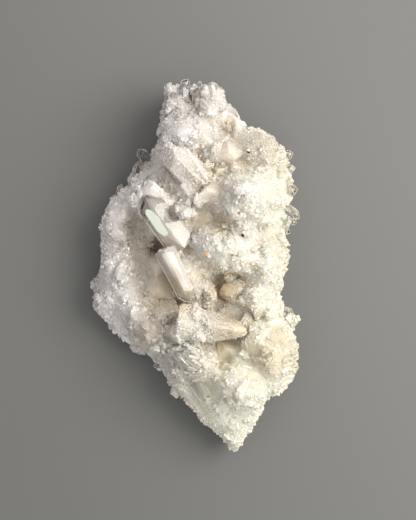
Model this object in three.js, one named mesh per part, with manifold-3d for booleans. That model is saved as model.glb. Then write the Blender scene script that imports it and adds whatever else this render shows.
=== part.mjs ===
// Quartz cluster: one natural piece of intergrown quartz, lying on the flat break of its underside.
// Its mass rises from the break in two ridges of rounded, crystal-coated lumps with deep hollows
// between them. Coated fingers lie across the ridges, and pointed crystals stand out of the lumps and
// the edges. All of it has grown together, so all of it is joined in one solid.
// Millimetres, +Z up, +Y towards the crown, +X towards the spiky edge.

import * as THREE from "three";
import { mergeVertices } from "three/addons/utils/BufferGeometryUtils.js";
import Module from "manifold-3d";

const wasm = await Module();
wasm.setup();

// Driving dimensions of the whole cluster.
const LENGTH = 111; // crown to tip, along Y
const WIDTH = 62; // spiky edge to rounded corner, along X
const HEIGHT = 37; // break to the highest lump
const FLOOR = 7; // level that the lumps rise from, between them and at the edges
const SEED = 7; // for the small irregularities of nature

// The mass is a ground of heights, cut out along the outline. Its walls lean in towards the break.
const GRID = 2.4; // spacing of the ground's corners
const GRID_JITTER = 0.5; // how far a corner of the ground lies off the even spacing
const GROUND_ROUGHNESS = 0.4; // how far a corner of the ground stands off its true height
const GROUND_MARGIN = 8; // how much larger the ground is than the cluster before it is cut out
const WALL_LEVELS = [0, 3.5, 8, 14, 20, 27, HEIGHT + 5]; // heights at which the wall changes its lean
const WALL_SHARES = [0.89, 0.96, 1, 0.995, 0.96, 0.9, 0.68]; // size of the outline at those heights
const WALL_STEP = 5; // spacing of the wall's corners along the outline
const WALL_ROUGHNESS = 0.55; // how far a corner of the wall lies off its true place
const WALL_CRYSTALS = { points: 32, girth: 2, reach: 1.7, low: 5, high: 17, rise: 0.35 };

// The outline of the mass, seen from above, anticlockwise from the crown.
const OUTLINE = [
  [-2, 53.4], [-5, 53.8], [-7.4, 52.6], [-9.8, 49], [-10, 40], [-12.4, 34], [-12.4, 30.6],
  [-15.4, 29.2], [-19.4, 23.8], [-22.4, 23.2], [-26, 19.2], [-27.8, 12], [-28.4, 0.6],
  [-29.4, -5.4], [-30.6, -8.4], [-29.8, -11.8], [-25.6, -17.2], [-21, -21.6], [-15.4, -25.8],
  [-11, -29.8], [-7.4, -34], [-2.6, -39.6], [4.4, -48.4], [7, -51.6], [11, -54.8], [13, -55],
  [13.8, -52], [16.8, -47.4], [17.8, -44.6], [21.4, -38], [25.6, -36], [28.4, -33.2],
  [29.6, -30], [29.8, -22], [28.4, -18], [25.2, -12.4], [23.7, -7.6], [25.6, -5],
  [26.4, -0.8], [25.4, 4], [26.4, 10], [27, 16], [27.8, 21], [27.8, 30], [25.2, 34.8],
  [23.4, 38.2], [20.8, 40.4], [16.8, 40.8], [13.8, 42.6], [12, 46.2], [10, 48], [7.8, 48.6],
  [6.6, 52.8], [4, 53.2], [1, 52.6],
];

// The lumps of the ground: place, height of the top, half length and half width where the lump meets
// the floor, turn of its long axis from +X in degrees, how many crystals stand on it, their radius and
// how far they stand out. lean, where it is given, is the direction that its crystals turn to.
const DOME_ROUNDNESS = 0.62; // 0.5 is a half ellipsoid, 1 a paraboloid
const DOMES = [
  // Broad swells under the lumps.
  { at: [3, 26], top: 23, half: [31, 23], turn: 78, points: 0 },
  { at: [11, -26], top: 18.5, half: [32, 21], turn: -72, points: 0 },
  { at: [-19, 4], top: 12.5, half: [27, 15], turn: 84, points: 0 },
  // Crown and upper half.
  {
    at: [-6.4, 48.6], top: 24.5, half: [8, 6], turn: 80,
    points: 3, girth: 2.1, reach: 2, lean: [-0.1, 1, 0.5],
  },
  {
    at: [3.4, 47.6], top: 26, half: [6.6, 5.6], turn: 0,
    points: 3, girth: 1.7, reach: 2, lean: [0.1, 1, 0.5],
  },
  { at: [10.6, 44.2], top: 20.5, half: [5.4, 5], turn: 50, points: 2, girth: 1.9, reach: 0.9 },
  { at: [-3, 39.2], top: 30.5, half: [11.4, 8.8], turn: 14, points: 4, girth: 2.6, reach: 1.3 },
  { at: [-10.4, 35.6], top: 19, half: [8, 5.4], turn: 70, points: 2, girth: 2.1, reach: 1.1 },
  { at: [7, 33], top: 27.5, half: [8.4, 7.4], turn: 0, points: 1, girth: 2.2, reach: 1.1 },
  { at: [18.4, 33.4], top: 27.5, half: [10.4, 8], turn: -38, points: 4, girth: 2.3, reach: 1.3 },
  {
    at: [24.6, 25], top: 20, half: [10, 5.6], turn: 86,
    points: 3, girth: 1.8, reach: 2.4, lean: [1, 0, 0.5],
  },
  { at: [15, 20.4], top: 34, half: [13, 12], turn: 0, points: 6, girth: 2.8, reach: 1.4 },
  { at: [1.6, 22.6], top: 29.5, half: [11, 8.6], turn: -12, points: 3, girth: 2.3, reach: 1.1 },
  { at: [22.4, 12], top: 18, half: [7, 5.4], turn: 60, points: 1, girth: 1.8, reach: 1.5 },
  // Left ridge.
  { at: [-18.2, 20.6], top: 20, half: [9.4, 6.4], turn: 46, points: 3, girth: 2.1, reach: 1.4 },
  { at: [-24, 13.4], top: 19.5, half: [11, 6.4], turn: 80, points: 3, girth: 2.2, reach: 1.3 },
  { at: [-23.4, -1.4], top: 18.5, half: [12, 7.4], turn: 82, points: 4, girth: 2.2, reach: 1.2 },
  { at: [-26.6, -9.6], top: 15, half: [6.4, 5], turn: 60, points: 1, girth: 2, reach: 0.9 },
  { at: [-18.4, -11.8], top: 18, half: [9, 6], turn: -40, points: 3, girth: 2.1, reach: 1.3 },
  { at: [-12.6, -18.6], top: 18, half: [10, 5.8], turn: -42, points: 3, girth: 2, reach: 1.3 },
  // Middle.
  { at: [6, 6.6], top: 30, half: [13, 8.4], turn: -35, points: 3, girth: 2.5, reach: 1.2 },
  { at: [14.4, 9.6], top: 28, half: [10, 9], turn: 60, points: 2, girth: 2.3, reach: 1.2 },
  { at: [13.4, 3.4], top: 27.5, half: [9, 7.4], turn: 10, points: 1, girth: 2.1, reach: 1.2 },
  { at: [-2.4, -0.8], top: 25, half: [11, 6], turn: -62, points: 2, girth: 2.1, reach: 1.2 },
  { at: [21, 1.6], top: 26.5, half: [11.6, 6.8], turn: 85, points: 4, girth: 2, reach: 1.7 },
  { at: [0, -16.8], top: 24, half: [9, 6.4], turn: 4, points: 2, girth: 2.1, reach: 1.1 },
  { at: [17.6, -7.4], top: 23.5, half: [8, 6], turn: 60, points: 1, girth: 2, reach: 1.2 },
  { at: [22.4, -12.4], top: 21, half: [7, 6], turn: 70, points: 2, girth: 1.9, reach: 1.4 },
  // Lower half.
  {
    at: [0.6, -26.6], top: 26.5, half: [9.4, 7.2], turn: -22,
    points: 3, girth: 2.2, reach: 1.2, lean: [1, -1, 1],
  },
  { at: [18, -20.6], top: 25.5, half: [8, 7], turn: 0, points: 2, girth: 2.1, reach: 1.2 },
  { at: [23, -25], top: 25.5, half: [12, 7.6], turn: 82, points: 5, girth: 2.1, reach: 1.3 },
  { at: [-3.4, -34.2], top: 16, half: [10, 6], turn: -50, points: 3, girth: 1.9, reach: 1.2 },
  { at: [12.8, -34.2], top: 25, half: [12, 10], turn: -60, points: 4, girth: 2.3, reach: 1.2 },
  { at: [6.6, -41], top: 18, half: [10, 6], turn: -56, points: 3, girth: 2, reach: 1.2 },
  { at: [21.2, -34.8], top: 18, half: [6.6, 5.6], turn: 40, points: 1, girth: 2, reach: 1.1 },
  { at: [12.4, -46.4], top: 15.5, half: [9.4, 5.6], turn: 82, points: 3, girth: 1.9, reach: 1 },
];

// The hollows of the ground: place, depth of the bottom above the break, half length and half width
// where the hollow is open by HOLLOW_RISE, and the turn of its long axis.
const HOLLOW_RISE = 14;
const HOLLOWS = [
  { name: "dark_pit", at: [-11.4, 6.4], bottom: 4, half: [4.4, 3], turn: -40 },
  { name: "valley", at: [-11.6, -2.6], bottom: 7, half: [9.6, 4.4], turn: 96 },
  { name: "valley_end", at: [-6.8, -10.6], bottom: 7.5, half: [6, 4], turn: -50 },
  { name: "vug", at: [9, -4], bottom: 7, half: [6, 3.2], turn: 12 },
  { name: "vug_end", at: [6.4, -9.4], bottom: 9, half: [4.4, 3.8], turn: 60 },
  { name: "cleft", at: [8.4, -21.4], bottom: 9, half: [7.4, 2.8], turn: 24 },
  { name: "cleft_end", at: [8.2, -26.4], bottom: 11, half: [4.4, 2.6], turn: 80 },
  { name: "long_recess", at: [3.8, 14.8], bottom: 18, half: [5.4, 2.2], turn: -56 },
  { name: "shoulder_recess", at: [9.4, 40.6], bottom: 12, half: [3.8, 2.6], turn: 80 },
  { name: "brown_nest", at: [4.6, 28.8], bottom: 18, half: [3.2, 2.8], turn: 0 },
  { name: "dark_spot", at: [14.4, 10], bottom: 17, half: [2.6, 2], turn: 20 },
  { name: "left_crease", at: [-23, 7.6], bottom: 12.5, half: [6.4, 2.6], turn: 4 },
  { name: "left_dip", at: [-17.6, -6], bottom: 13, half: [5, 2.6], turn: 30 },
  { name: "edge_gap", at: [24.8, 15.8], bottom: 6, half: [3.4, 1.8], turn: -30 },
];

// Coated fingers that lie on the ground and hang over its hollows.
const FINGER_ROUGHNESS = 0.06;
const FINGERS = [
  {
    name: "upper_finger", at: [-3.2, 29.7, 27.4], half: [7.6, 3.8, 4.4], turn: -43,
    points: 6, girth: 1.6, reach: 0.8,
  },
  {
    name: "leaning_finger", at: [-10.4, 16.2, 22.5], half: [10.6, 5.2, 6.4], turn: -52,
    points: 6, girth: 1.8, reach: 0.8,
  },
  {
    name: "cross_finger", at: [0.6, -16.6, 24], half: [7.2, 4.4, 5], turn: 4,
    points: 5, girth: 1.7, reach: 0.8,
  },
];

// Crystals that show by themselves: from the root to the tip, and the radius of the prism.
const CRYSTALS = [
  { name: "crown_tip", root: [-4.6, 50.5, 18], tip: [-2.3, 55.5, 19.5], radius: 1.7 },
  { name: "crown_needle", root: [1.2, 50, 18], tip: [1.3, 55, 18.6], radius: 0.7 },
  { name: "fan_left", root: [2.8, 46.5, 21], tip: [3, 54.2, 23.2], radius: 1.3 },
  { name: "fan_middle", root: [5, 46.5, 21], tip: [5.2, 54.3, 22.6], radius: 1.2 },
  { name: "fan_right", root: [6.4, 46, 19.5], tip: [7.1, 53.6, 20.5], radius: 1.2 },
  { name: "window_face", root: [9, 33, 20], tip: [9.9, 33.6, 29.8], radius: 3.3 },
  { name: "edge_top", root: [24.6, 32.4, 15], tip: [29, 33.8, 16], radius: 1.6 },
  { name: "edge_upper", root: [25, 28.6, 15], tip: [29.7, 29.4, 16], radius: 1.5 },
  { name: "edge_middle", root: [25, 22.6, 16.5], tip: [30.3, 22.9, 17.5], radius: 1.9 },
  { name: "clear_large", root: [23, 20.2, 14], tip: [31, 14.6, 16], radius: 1.75 },
  { name: "clear_small", root: [22, 15.8, 11.5], tip: [30.2, 13.2, 13.6], radius: 1 },
  { name: "clear_under", root: [21, 13, 11.5], tip: [28.4, 10.4, 12.6], radius: 1.3 },
  { name: "leaf", root: [-8, 16.2, 27], tip: [-1.2, 17, 30.4], radius: 1.7 },
  { name: "green_face", root: [-6.6, 9.4, 24.6], tip: [-15.6, 19.4, 27.8], radius: 2.9 },
  { name: "grey_face", root: [-4, 12.4, 25], tip: [-13.4, 22.4, 28], radius: 2.5 },
  { name: "long_crystal", root: [-8.6, 5.4, 24.4], tip: [-1.4, -9.6, 22.4], radius: 2.9 },
  { name: "left_glass", root: [-12, 29.4, 7], tip: [-17.2, 35.4, 9], radius: 1.8 },
  { name: "left_spire", root: [-18.6, 24.6, 12], tip: [-16.7, 31.8, 13.6], radius: 1.7 },
  { name: "left_spike", root: [-23.2, 19.6, 11], tip: [-22, 24.7, 12.4], radius: 1.6 },
  { name: "finger_end", root: [3, -16.6, 23.6], tip: [13.8, -16, 23.4], radius: 3.7 },
  { name: "vug_block", root: [6.4, -9.6, 6], tip: [6.2, -9.2, 16], radius: 3 },
  { name: "vug_shelf", root: [10.6, -6.2, 6], tip: [11.2, -5.6, 17.5], radius: 2.6 },
  { name: "glint_left", root: [-9.4, -25, 11], tip: [-12.6, -22.4, 18], radius: 1.3 },
  { name: "glint_right", root: [-7.6, -24.4, 11], tip: [-8.6, -21.6, 19], radius: 1.2 },
  { name: "waist_blade", root: [23, -12, 12], tip: [29.2, -13.6, 13], radius: 1.2 },
  { name: "waist_needle", root: [24, -14.4, 11], tip: [30.3, -16.2, 12], radius: 0.9 },
  { name: "foot_blade", root: [18.6, -37.2, 11], tip: [26, -35, 13], radius: 2.2 },
  { name: "edge_blade", root: [-0.4, -34.2, 15.6], tip: [3.6, -40, 17.4], radius: 1.6 },
  { name: "body_glint", root: [12.6, -37, 21], tip: [13.4, -36.6, 26.6], radius: 1.5 },
  { name: "low_edge_knob", root: [-8.6, -29.6, 5], tip: [-12.8, -30.2, 6], radius: 1 },
];

// Shape of a quartz point: a six-sided prism with a six-faced pyramid on its end.
const SIDES = 6;
const PYRAMID_RISE = 1.25; // height of the pyramid against the prism's radius
const PRISM_TAPER = 0.88; // radius under the pyramid against the radius at the root
const LEAST_PRISM = 0.2; // share of a short crystal's length that is prism
const POINT_ROOT = 1.5; // how deep a lump's crystal is rooted, against its radius
const POINT_SPREAD = 0.86; // how far out on a lump its crystals stand, against its half width
const POINT_LEAN = 0.3; // how far a crystal leans at random
const POINT_VARIES = 0.3; // share by which its radius and reach vary
const LEAN_PULL = 1.2; // how strongly a lump's lean turns its crystals
const GOLDEN_ANGLE = Math.PI * (3 - Math.sqrt(5));
const MERGE = 1e-4; // corners nearer than this are one
const FINEST = 0.12; // edges and steps finer than this are left out

// A number from 0 to 1 that depends on the seed and on how many were drawn before.
let drawn = SEED;
function random() {
  drawn = (drawn + 0x6d2b79f5) | 0;
  let t = Math.imul(drawn ^ (drawn >>> 15), 1 | drawn);
  t = (t + Math.imul(t ^ (t >>> 7), 61 | t)) ^ t;
  return ((t ^ (t >>> 14)) >>> 0) / 2 ** 32;
}
const spread = (amount) => (random() * 2 - 1) * amount;

// A closed three.js geometry as a solid, with its shared corners merged.
function solidOf(geometry) {
  const bare = geometry.index ? geometry.toNonIndexed() : geometry.clone();
  for (const name of Object.keys(bare.attributes)) if (name !== "position") bare.deleteAttribute(name);
  const merged = mergeVertices(bare, MERGE);
  const corners = merged.index.array;
  const triVerts = [];
  for (let i = 0; i < corners.length; i += 3) {
    const [a, b, c] = corners.slice(i, i + 3);
    if (a !== b && b !== c && c !== a) triVerts.push(a, b, c);
  }
  const vertProperties = merged.attributes.position.array;
  return new wasm.Manifold(
    new wasm.Mesh({ numProp: 3, vertProperties, triVerts: new Uint32Array(triVerts) }),
  );
}

// A geometry from a list of points and a list of corner numbers.
function indexed(points, faces) {
  const geometry = new THREE.BufferGeometry();
  geometry.setAttribute("position", new THREE.Float32BufferAttribute(points, 3));
  geometry.setIndex(faces);
  return geometry;
}

// Where a point lies on an oval: 0 at its middle, 1 on its rim.
function ovalDistance(oval, x, y) {
  const angle = THREE.MathUtils.degToRad(oval.turn);
  const [dx, dy] = [x - oval.at[0], y - oval.at[1]];
  const along = (dx * Math.cos(angle) + dy * Math.sin(angle)) / oval.half[0];
  const across = (dy * Math.cos(angle) - dx * Math.sin(angle)) / oval.half[1];
  return Math.hypot(along, across);
}

// Height of the ground: the highest of its lumps, and no higher than its hollows allow.
function groundHeight(x, y) {
  let height = FLOOR;
  for (const dome of DOMES) {
    const inside = Math.max(0, 1 - ovalDistance(dome, x, y) ** 2);
    height = Math.max(height, FLOOR + (dome.top - FLOOR) * inside ** DOME_ROUNDNESS);
  }
  for (const hollow of HOLLOWS) {
    height = Math.min(height, hollow.bottom + HOLLOW_RISE * ovalDistance(hollow, x, y) ** 2);
  }
  return height;
}

// The ground over the whole cluster, as a block with a rough top.
function ground() {
  const columns = Math.ceil((WIDTH + GROUND_MARGIN) / GRID);
  const rows = Math.ceil((LENGTH + GROUND_MARGIN) / GRID);
  const points = [];
  for (let row = 0; row <= rows; row++) {
    for (let column = 0; column <= columns; column++) {
      const x = (column - columns / 2) * GRID + spread(GRID_JITTER);
      const y = (row - rows / 2) * GRID + spread(GRID_JITTER);
      points.push(x, y, groundHeight(x, y) + spread(GROUND_ROUGHNESS));
    }
  }
  const top = points.length / 3;
  for (let i = 0; i < top; i++) points.push(points[i * 3], points[i * 3 + 1], -1);
  const faces = [];
  const wide = columns + 1;
  const quad = (a, b, c, d) => faces.push(a, b, c, a, c, d);
  const step = (a, b) => Math.abs(points[a * 3 + 2] - points[b * 3 + 2]);
  for (let row = 0; row < rows; row++) {
    for (let column = 0; column < columns; column++) {
      const a = row * wide + column;
      const [b, c, d] = [a + 1, a + wide + 1, a + wide];
      if (step(a, c) < step(b, d)) quad(a, b, c, d);
      else quad(b, c, d, a);
      quad(top + a, top + d, top + c, top + b);
    }
  }
  for (let column = 0; column < columns; column++) {
    const far = rows * wide + column;
    quad(top + column, top + column + 1, column + 1, column);
    quad(top + far + 1, top + far, far, far + 1);
  }
  for (let row = 0; row < rows; row++) {
    const near = row * wide;
    const far = near + columns;
    quad(top + near + wide, top + near, near, near + wide);
    quad(top + far, top + far + wide, far + wide, far);
  }
  return solidOf(indexed(points, faces));
}

// The outline as a closed line of points no further apart than WALL_STEP.
function wallLine() {
  return OUTLINE.flatMap(([x, y], i) => {
    const here = new THREE.Vector2(x, y);
    const next = new THREE.Vector2(...OUTLINE[(i + 1) % OUTLINE.length]);
    const steps = Math.ceil(here.distanceTo(next) / WALL_STEP);
    return Array.from({ length: steps }, (_, k) => here.clone().lerp(next, k / steps));
  });
}

// The wall around the mass: the outline lofted from the break to above the highest lump.
function wall() {
  const line = wallLine();
  const count = line.length;
  const points = WALL_LEVELS.flatMap((z, level) =>
    line.flatMap((place) => [
      place.x * WALL_SHARES[level] + spread(WALL_ROUGHNESS),
      place.y * WALL_SHARES[level] + spread(WALL_ROUGHNESS),
      z,
    ]),
  );
  const faces = [];
  for (let level = 0; level + 1 < WALL_LEVELS.length; level++) {
    for (let i = 0; i < count; i++) {
      const a = level * count + i;
      const b = level * count + ((i + 1) % count);
      faces.push(a, b, b + count, a, b + count, a + count);
    }
  }
  const top = (WALL_LEVELS.length - 1) * count;
  for (const [a, b, c] of THREE.ShapeUtils.triangulateShape(line, [])) {
    faces.push(a, c, b, top + a, top + b, top + c);
  }
  return solidOf(indexed(points, faces));
}

// A crystal from its root to its tip.
function crystal(root, tip, radius) {
  const length = root.distanceTo(tip);
  const shoulder = Math.max(length - radius * PRISM_TAPER * PYRAMID_RISE, length * LEAST_PRISM);
  const profile = [
    new THREE.Vector2(0, 0),
    new THREE.Vector2(radius, 0),
    new THREE.Vector2(radius * PRISM_TAPER, shoulder),
    new THREE.Vector2(0, length),
  ];
  const geometry = new THREE.LatheGeometry(profile, SIDES);
  const along = tip.clone().sub(root).normalize();
  const turn = new THREE.Quaternion().setFromUnitVectors(new THREE.Vector3(0, 1, 0), along);
  const spin = new THREE.Quaternion().setFromAxisAngle(along, random() * Math.PI);
  geometry.applyQuaternion(spin.multiply(turn));
  geometry.translate(root.x, root.y, root.z);
  return solidOf(geometry);
}

// A crystal that stands at a foot on a lump or a finger, along an axis that leans a little at random.
function pointAt(foot, axis, lump) {
  axis.add(new THREE.Vector3(spread(POINT_LEAN), spread(POINT_LEAN), spread(POINT_LEAN)));
  if (lump.lean) axis.addScaledVector(new THREE.Vector3(...lump.lean).normalize(), LEAN_PULL);
  axis.normalize();
  const radius = lump.girth * (1 + spread(POINT_VARIES));
  const tip = foot.clone().addScaledVector(axis, lump.reach * (1 + spread(POINT_VARIES)));
  const root = foot.clone().addScaledVector(axis, -radius * POINT_ROOT);
  return crystal(root, tip, radius);
}

// The crystals of a lump of the ground, in a sunflower spread over it.
function domePoints(dome) {
  const turn = THREE.MathUtils.degToRad(dome.turn);
  const start = random() * Math.PI * 2;
  return Array.from({ length: dome.points }, (_, i) => {
    const out = Math.sqrt((i + 0.5) / dome.points) * POINT_SPREAD;
    const around = start + i * GOLDEN_ANGLE;
    const along = new THREE.Vector2(Math.cos(around) * dome.half[0], Math.sin(around) * dome.half[1]);
    along.multiplyScalar(out).rotateAround(new THREE.Vector2(), turn);
    const [x, y] = [dome.at[0] + along.x, dome.at[1] + along.y];
    const foot = new THREE.Vector3(x, y, groundHeight(x, y));
    const axis = new THREE.Vector3(along.x, along.y, 0).normalize().multiplyScalar(out * 1.3);
    return pointAt(foot, axis.setZ(1).normalize(), dome);
  });
}

// The crystals around the wall, pointing out of it and a little up.
function wallPoints() {
  const line = wallLine();
  const turnShare = GOLDEN_ANGLE / (Math.PI * 2);
  return Array.from({ length: WALL_CRYSTALS.points }, (_, i) => {
    const corner = Math.floor(((i * turnShare) % 1) * line.length);
    const here = line[corner];
    const next = line[(corner + 1) % line.length];
    const axis = new THREE.Vector3(next.y - here.y, here.x - next.x, 0).normalize();
    const inside = here.clone().sub(new THREE.Vector2(axis.x, axis.y).multiplyScalar(WALL_CRYSTALS.girth));
    const high = Math.min(WALL_CRYSTALS.high, groundHeight(inside.x, inside.y) - WALL_CRYSTALS.girth);
    const foot = new THREE.Vector3(here.x, here.y, THREE.MathUtils.lerp(WALL_CRYSTALS.low, high, random()));
    return pointAt(foot, axis.setZ(WALL_CRYSTALS.rise), WALL_CRYSTALS);
  });
}

// A finger: a rough ellipsoid.
function fingerBody(finger) {
  const ball = new THREE.IcosahedronGeometry(1, 1).deleteAttribute("normal").deleteAttribute("uv");
  const merged = mergeVertices(ball, MERGE);
  const place = merged.attributes.position;
  const turn = THREE.MathUtils.degToRad(finger.turn);
  const corner = new THREE.Vector3();
  for (let i = 0; i < place.count; i++) {
    corner.fromBufferAttribute(place, i).multiplyScalar(1 + spread(FINGER_ROUGHNESS));
    corner.multiply(new THREE.Vector3(...finger.half)).applyAxisAngle(new THREE.Vector3(0, 0, 1), turn);
    place.setXYZ(i, ...corner.add(new THREE.Vector3(...finger.at)).toArray());
  }
  return solidOf(merged);
}

// The crystals of a finger, spread over its upper side.
function fingerPoints(finger) {
  const turn = THREE.MathUtils.degToRad(finger.turn);
  const half = new THREE.Vector3(...finger.half);
  const up = new THREE.Vector3(0, 0, 1);
  const start = random() * Math.PI * 2;
  return Array.from({ length: finger.points }, (_, i) => {
    const height = 1 - (i + 0.5) / finger.points;
    const flat = Math.sqrt(1 - height * height);
    const around = start + i * GOLDEN_ANGLE;
    const out = new THREE.Vector3(Math.cos(around) * flat, Math.sin(around) * flat, height);
    const foot = out.clone().multiply(half).applyAxisAngle(up, turn).add(new THREE.Vector3(...finger.at));
    return pointAt(foot, out.divide(half).applyAxisAngle(up, turn).normalize(), finger);
  });
}

const solids = [ground().intersect(wall())];
solids.push(...wallPoints());
for (const dome of DOMES) solids.push(...domePoints(dome));
for (const finger of FINGERS) solids.push(fingerBody(finger), ...fingerPoints(finger));
for (const { root, tip, radius } of CRYSTALS) {
  solids.push(crystal(new THREE.Vector3(...root), new THREE.Vector3(...tip), radius));
}
const grown = solids.reduce((whole, solid) => whole.add(solid)).simplify(FINEST);

// The one piece that all of it has grown into, centred over its break and brought to its size.
const [piece] = grown.decompose().sort((a, b) => b.volume() - a.volume());
const joined = piece.getMesh();
const form = indexed(joined.vertProperties, Array.from(joined.triVerts));
form.computeBoundingBox();
const { min, max } = form.boundingBox;
form.translate(-(min.x + max.x) / 2, -(min.y + max.y) / 2, -min.z);
form.scale(WIDTH / (max.x - min.x), LENGTH / (max.y - min.y), HEIGHT / (max.z - min.z));

const quartz = new THREE.MeshStandardMaterial({ color: 0xe6ddcf, roughness: 0.25, metalness: 0 });
const cluster = new THREE.Mesh(form, quartz);
cluster.name = "quartz_cluster";

const group = new THREE.Group();
group.add(cluster);
export default group;
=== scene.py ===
"""Quartz cluster: a milky core under a coat of grown-together crystals, with clear points on it."""

from collections import namedtuple
import math
import random

import bpy
import numpy as np
from mathutils import Matrix, Vector, noise
from mathutils.bvhtree import BVHTree
from mathutils.kdtree import KDTree


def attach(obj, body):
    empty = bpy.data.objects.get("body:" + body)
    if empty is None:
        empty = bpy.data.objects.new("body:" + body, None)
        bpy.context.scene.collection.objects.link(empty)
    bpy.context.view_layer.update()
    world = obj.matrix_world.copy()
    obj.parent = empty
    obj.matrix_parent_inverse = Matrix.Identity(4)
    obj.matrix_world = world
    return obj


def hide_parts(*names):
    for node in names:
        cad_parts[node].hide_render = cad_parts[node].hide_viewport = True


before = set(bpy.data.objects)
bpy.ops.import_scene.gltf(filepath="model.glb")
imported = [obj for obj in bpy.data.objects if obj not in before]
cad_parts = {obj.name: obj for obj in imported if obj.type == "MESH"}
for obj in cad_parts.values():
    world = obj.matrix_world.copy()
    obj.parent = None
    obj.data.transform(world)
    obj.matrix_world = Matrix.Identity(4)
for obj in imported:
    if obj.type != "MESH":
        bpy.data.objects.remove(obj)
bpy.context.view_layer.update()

# The table it lies on, the camera and the light: a grey floor seen straight from above,
# with a broad warm window light from the right and cool dim light from the left. The floor's colour
# is painted darker on the left and paler on the right, a painted light falloff from the window.
MM = 0.001
FRAME_HEIGHT = 156 * MM  # what the picture's 520 pixels cover at SHARP_LEVEL
SHARP_LEVEL = 12 * MM
CAMERA_DISTANCE = 520 * MM
CAMERA_PLACE = (3.75 * MM, 2.1 * MM)
CAMERA_START = 10 * MM
SENSOR = 36.0
FLOOR_SIZE = 3
FLOOR_ROUGHNESS = 0.75
# Painted light falloff on the floor: painted shade on the left, painted light on the right.
FLOOR_PAINTED_SHADE = (0.114, 0.116, 0.112, 1)
FLOOR_PAINTED_LIGHT = (0.152, 0.154, 0.153, 1)
FLOOR_PAINTED_FALLOFF = 140 * MM
FLOOR_LIGHT_WAY = (0.9, 0.42, 0)  # the way in which it grows paler
WINDOW_PLACE = (0.42, 0.14, 0.52)
WINDOW_SIZE = 0.55
WINDOW_POWER = 4.8
WINDOW_COLOUR = (1.0, 0.965, 0.9)
ROOM_BRIGHT_SIDE = (0.5, 0.08, 0.85)
ROOM_DIM = (0.5, 0.485, 0.49, 1)
ROOM_BRIGHT = (1.1, 1.085, 1.04, 1)
ROOM_STRENGTH = 1.12


def add_node(tree, kind, inputs=None, **settings):
    """A new node in a tree, with its settings and the values on its inputs."""
    node = tree.nodes.new(kind)
    for name, value in settings.items():
        setattr(node, name, value)
    for name, value in (inputs or {}).items():
        node.inputs[name].default_value = value
    return node


def link_nodes(tree, *wires):
    """Links nodes, where each wire is a node, its output, another node and its input."""
    for source, output, target, entry in wires:
        tree.links.new(source.outputs[output], target.inputs[entry])


def set_ramp(ramp, *stops):
    """Gives a colour ramp its stops, each a position and a colour, with its two ends first."""
    elements = ramp.color_ramp.elements
    for i, (position, colour) in enumerate(stops):
        stop = elements[i] if i < 2 else elements.new(position)
        stop.position = position
        stop.color = colour


scene = bpy.context.scene
scene.view_settings.view_transform = "Standard"
bpy.ops.object.select_all(action="DESELECT")
bpy.ops.object.camera_add(location=(*CAMERA_PLACE, SHARP_LEVEL + CAMERA_DISTANCE), rotation=(0, 0, 0))
scene.camera = bpy.context.object
scene.camera.data.sensor_width = SENSOR
scene.camera.data.lens = SENSOR * CAMERA_DISTANCE / FRAME_HEIGHT
scene.camera.data.clip_start = CAMERA_START

bpy.ops.mesh.primitive_plane_add(size=FLOOR_SIZE, location=(0, 0, 0))
floor = bpy.context.object
floor.name = "floor"
floor_finish = bpy.data.materials.new("grey_paper")
floor_finish.use_nodes = True
tree = floor_finish.node_tree
paper = tree.nodes["Principled BSDF"]
paper.inputs["Roughness"].default_value = FLOOR_ROUGHNESS
# The floor's colour fades from painted shade to painted light towards the window.
spread = add_node(tree, "ShaderNodeTexCoord")
slant = add_node(tree, "ShaderNodeVectorMath", {1: FLOOR_LIGHT_WAY}, operation="DOT_PRODUCT")
painted_falloff = add_node(tree, "ShaderNodeMapRange", {"From Min": -FLOOR_PAINTED_FALLOFF / 2, "From Max": FLOOR_PAINTED_FALLOFF / 2})
shades = add_node(tree, "ShaderNodeMix", {"A": FLOOR_PAINTED_SHADE, "B": FLOOR_PAINTED_LIGHT}, data_type="RGBA")
link_nodes(
    tree,
    (spread, "Object", slant, 0),
    (slant, "Value", painted_falloff, "Value"),
    (painted_falloff, "Result", shades, "Factor"),
    (shades, "Result", paper, "Base Color"),
)
floor.data.materials.append(floor_finish)

bpy.ops.object.light_add(type="AREA", location=WINDOW_PLACE)
window = bpy.context.object
window.data.shape = "DISK"
window.data.size = WINDOW_SIZE
window.data.energy = WINDOW_POWER
window.data.color = WINDOW_COLOUR
window.rotation_euler = (Vector((0, 0, 0)) - window.location).to_track_quat("-Z", "Y").to_euler()

sky = bpy.data.worlds.new("room")
scene.world = sky
sky.use_nodes = True
room = sky.node_tree
ground = room.nodes["Background"]
ground.inputs["Strength"].default_value = ROOM_STRENGTH
direction = add_node(room, "ShaderNodeTexCoord")
bright_side = Vector(ROOM_BRIGHT_SIDE).normalized()
towards = add_node(room, "ShaderNodeVectorMath", {1: bright_side}, operation="DOT_PRODUCT")
walls = add_node(room, "ShaderNodeValToRGB")
set_ramp(walls, (0.0, ROOM_DIM), (1.0, ROOM_BRIGHT))
link_nodes(
    room,
    (direction, "Generated", towards, 0),
    (towards, "Value", walls, "Fac"),
    (walls, "Color", ground, "Color"),
)

# A quartz point, the form that every crystal on the cluster has: a six-sided prism that ends in uneven
# faces. A few forms are cut here, and each crystal is one of them at its own size and place. The small
# grains of the druse have fewer sides.
FORMS = 6
FORM_SIDES = 6
GRAIN_SIDES = (4, 4, 5, 4, 4, 5)
FORM_LENGTH = 4
PYRAMID_SLOPE = 0.79
FACE_REACH = 0.5
FACE_STEP = 0.22  # every other face lies further out
FACE_SPREAD = (-0.1, 0.22)
SAME_PLACE = 0.01
ROOT_WIDTH = 1.15
SEED = 11
random.seed(SEED)
noise.seed_set(SEED)
rng = np.random.default_rng(SEED)
Crystals = namedtuple("Crystals", "tips axes radii lengths flats spins cuts")


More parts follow.
